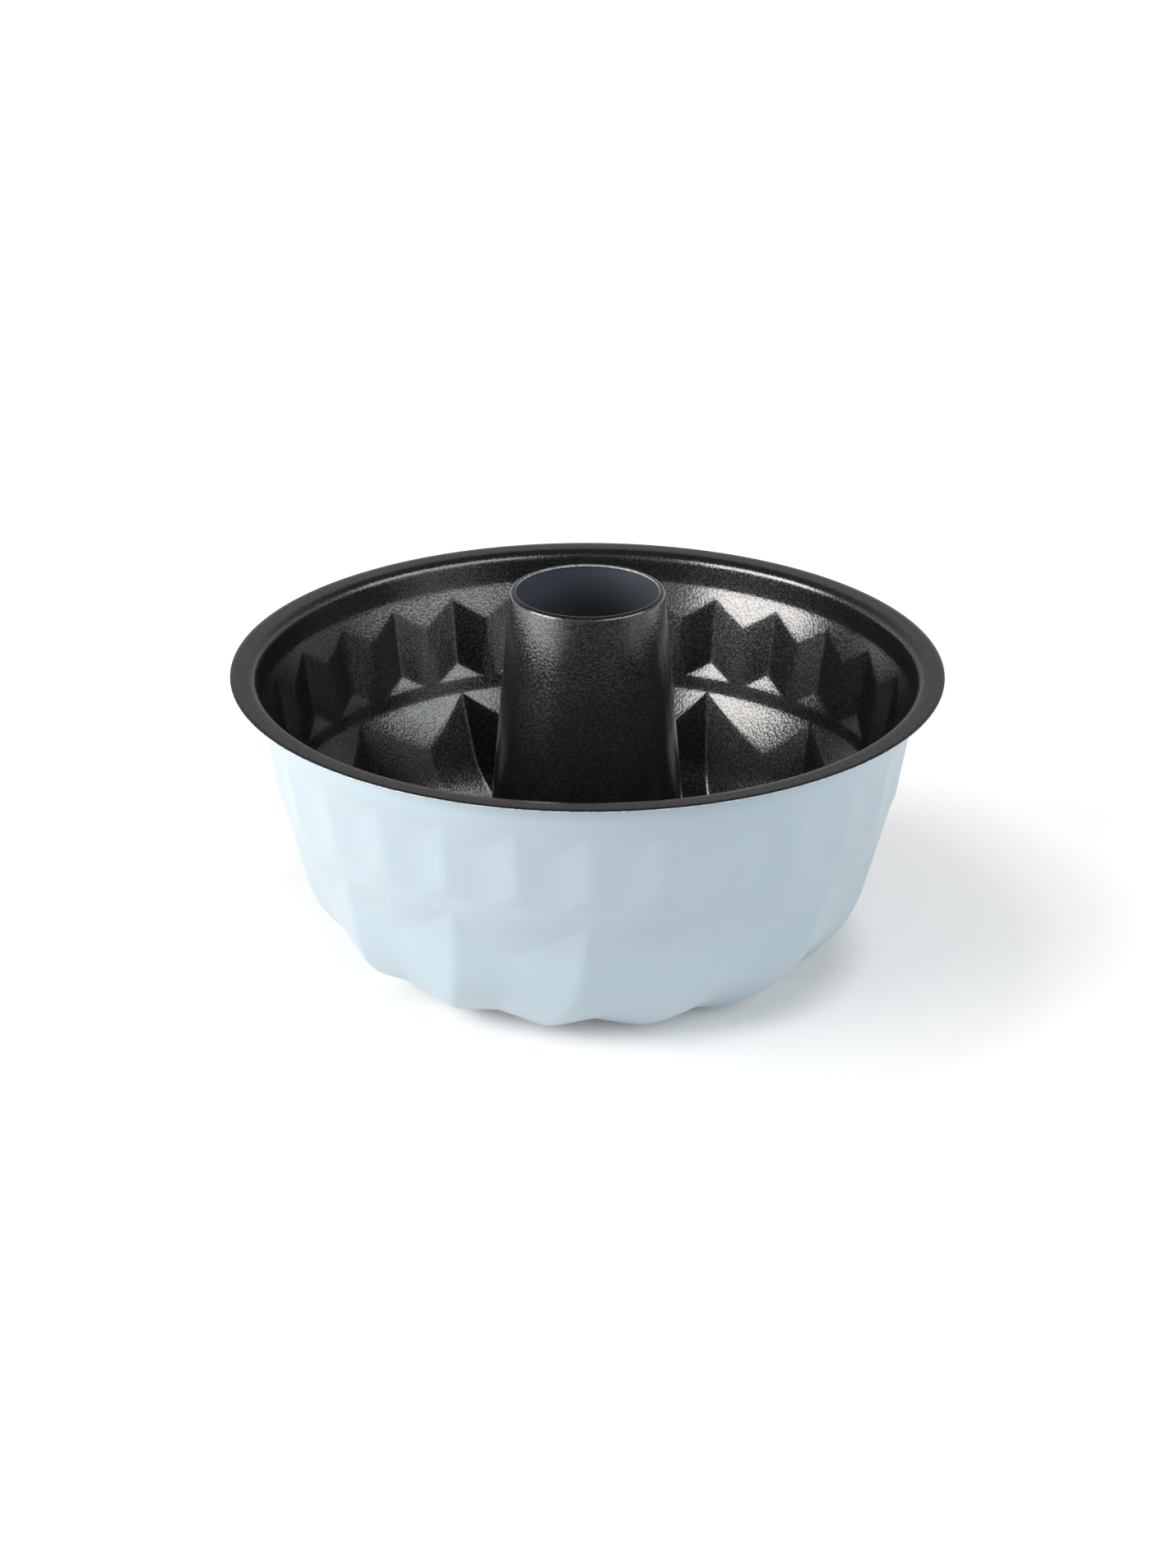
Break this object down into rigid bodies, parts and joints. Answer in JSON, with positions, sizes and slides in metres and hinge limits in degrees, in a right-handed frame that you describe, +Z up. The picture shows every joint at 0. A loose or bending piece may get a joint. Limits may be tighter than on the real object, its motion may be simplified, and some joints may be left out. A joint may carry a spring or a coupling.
{
  "type": "cake pan",
  "caption": "Fluted ring-cake pan: a pressed steel bowl with two tiers of facets, the lower one swirled, a flat rim flange and a tapered open centre tube.",
  "frame": {"origin": "on the pan's axis, at the height of the pads that it stands on", "axes": "+Z up along the axis of the centre tube, +Y towards one groove of the flutes"},
  "size_m": [0.24, 0.24, 0.1305],
  "materials": {
    "lacquer": "pale blue lacquer outside, black non-stick coating inside",
    "nonstick": "satin black non-stick coating"
  },
  "bodies": {
    "root": {"bowl": "lacquer", "centre_tube": "nonstick"}
  },
  "joints": []
}
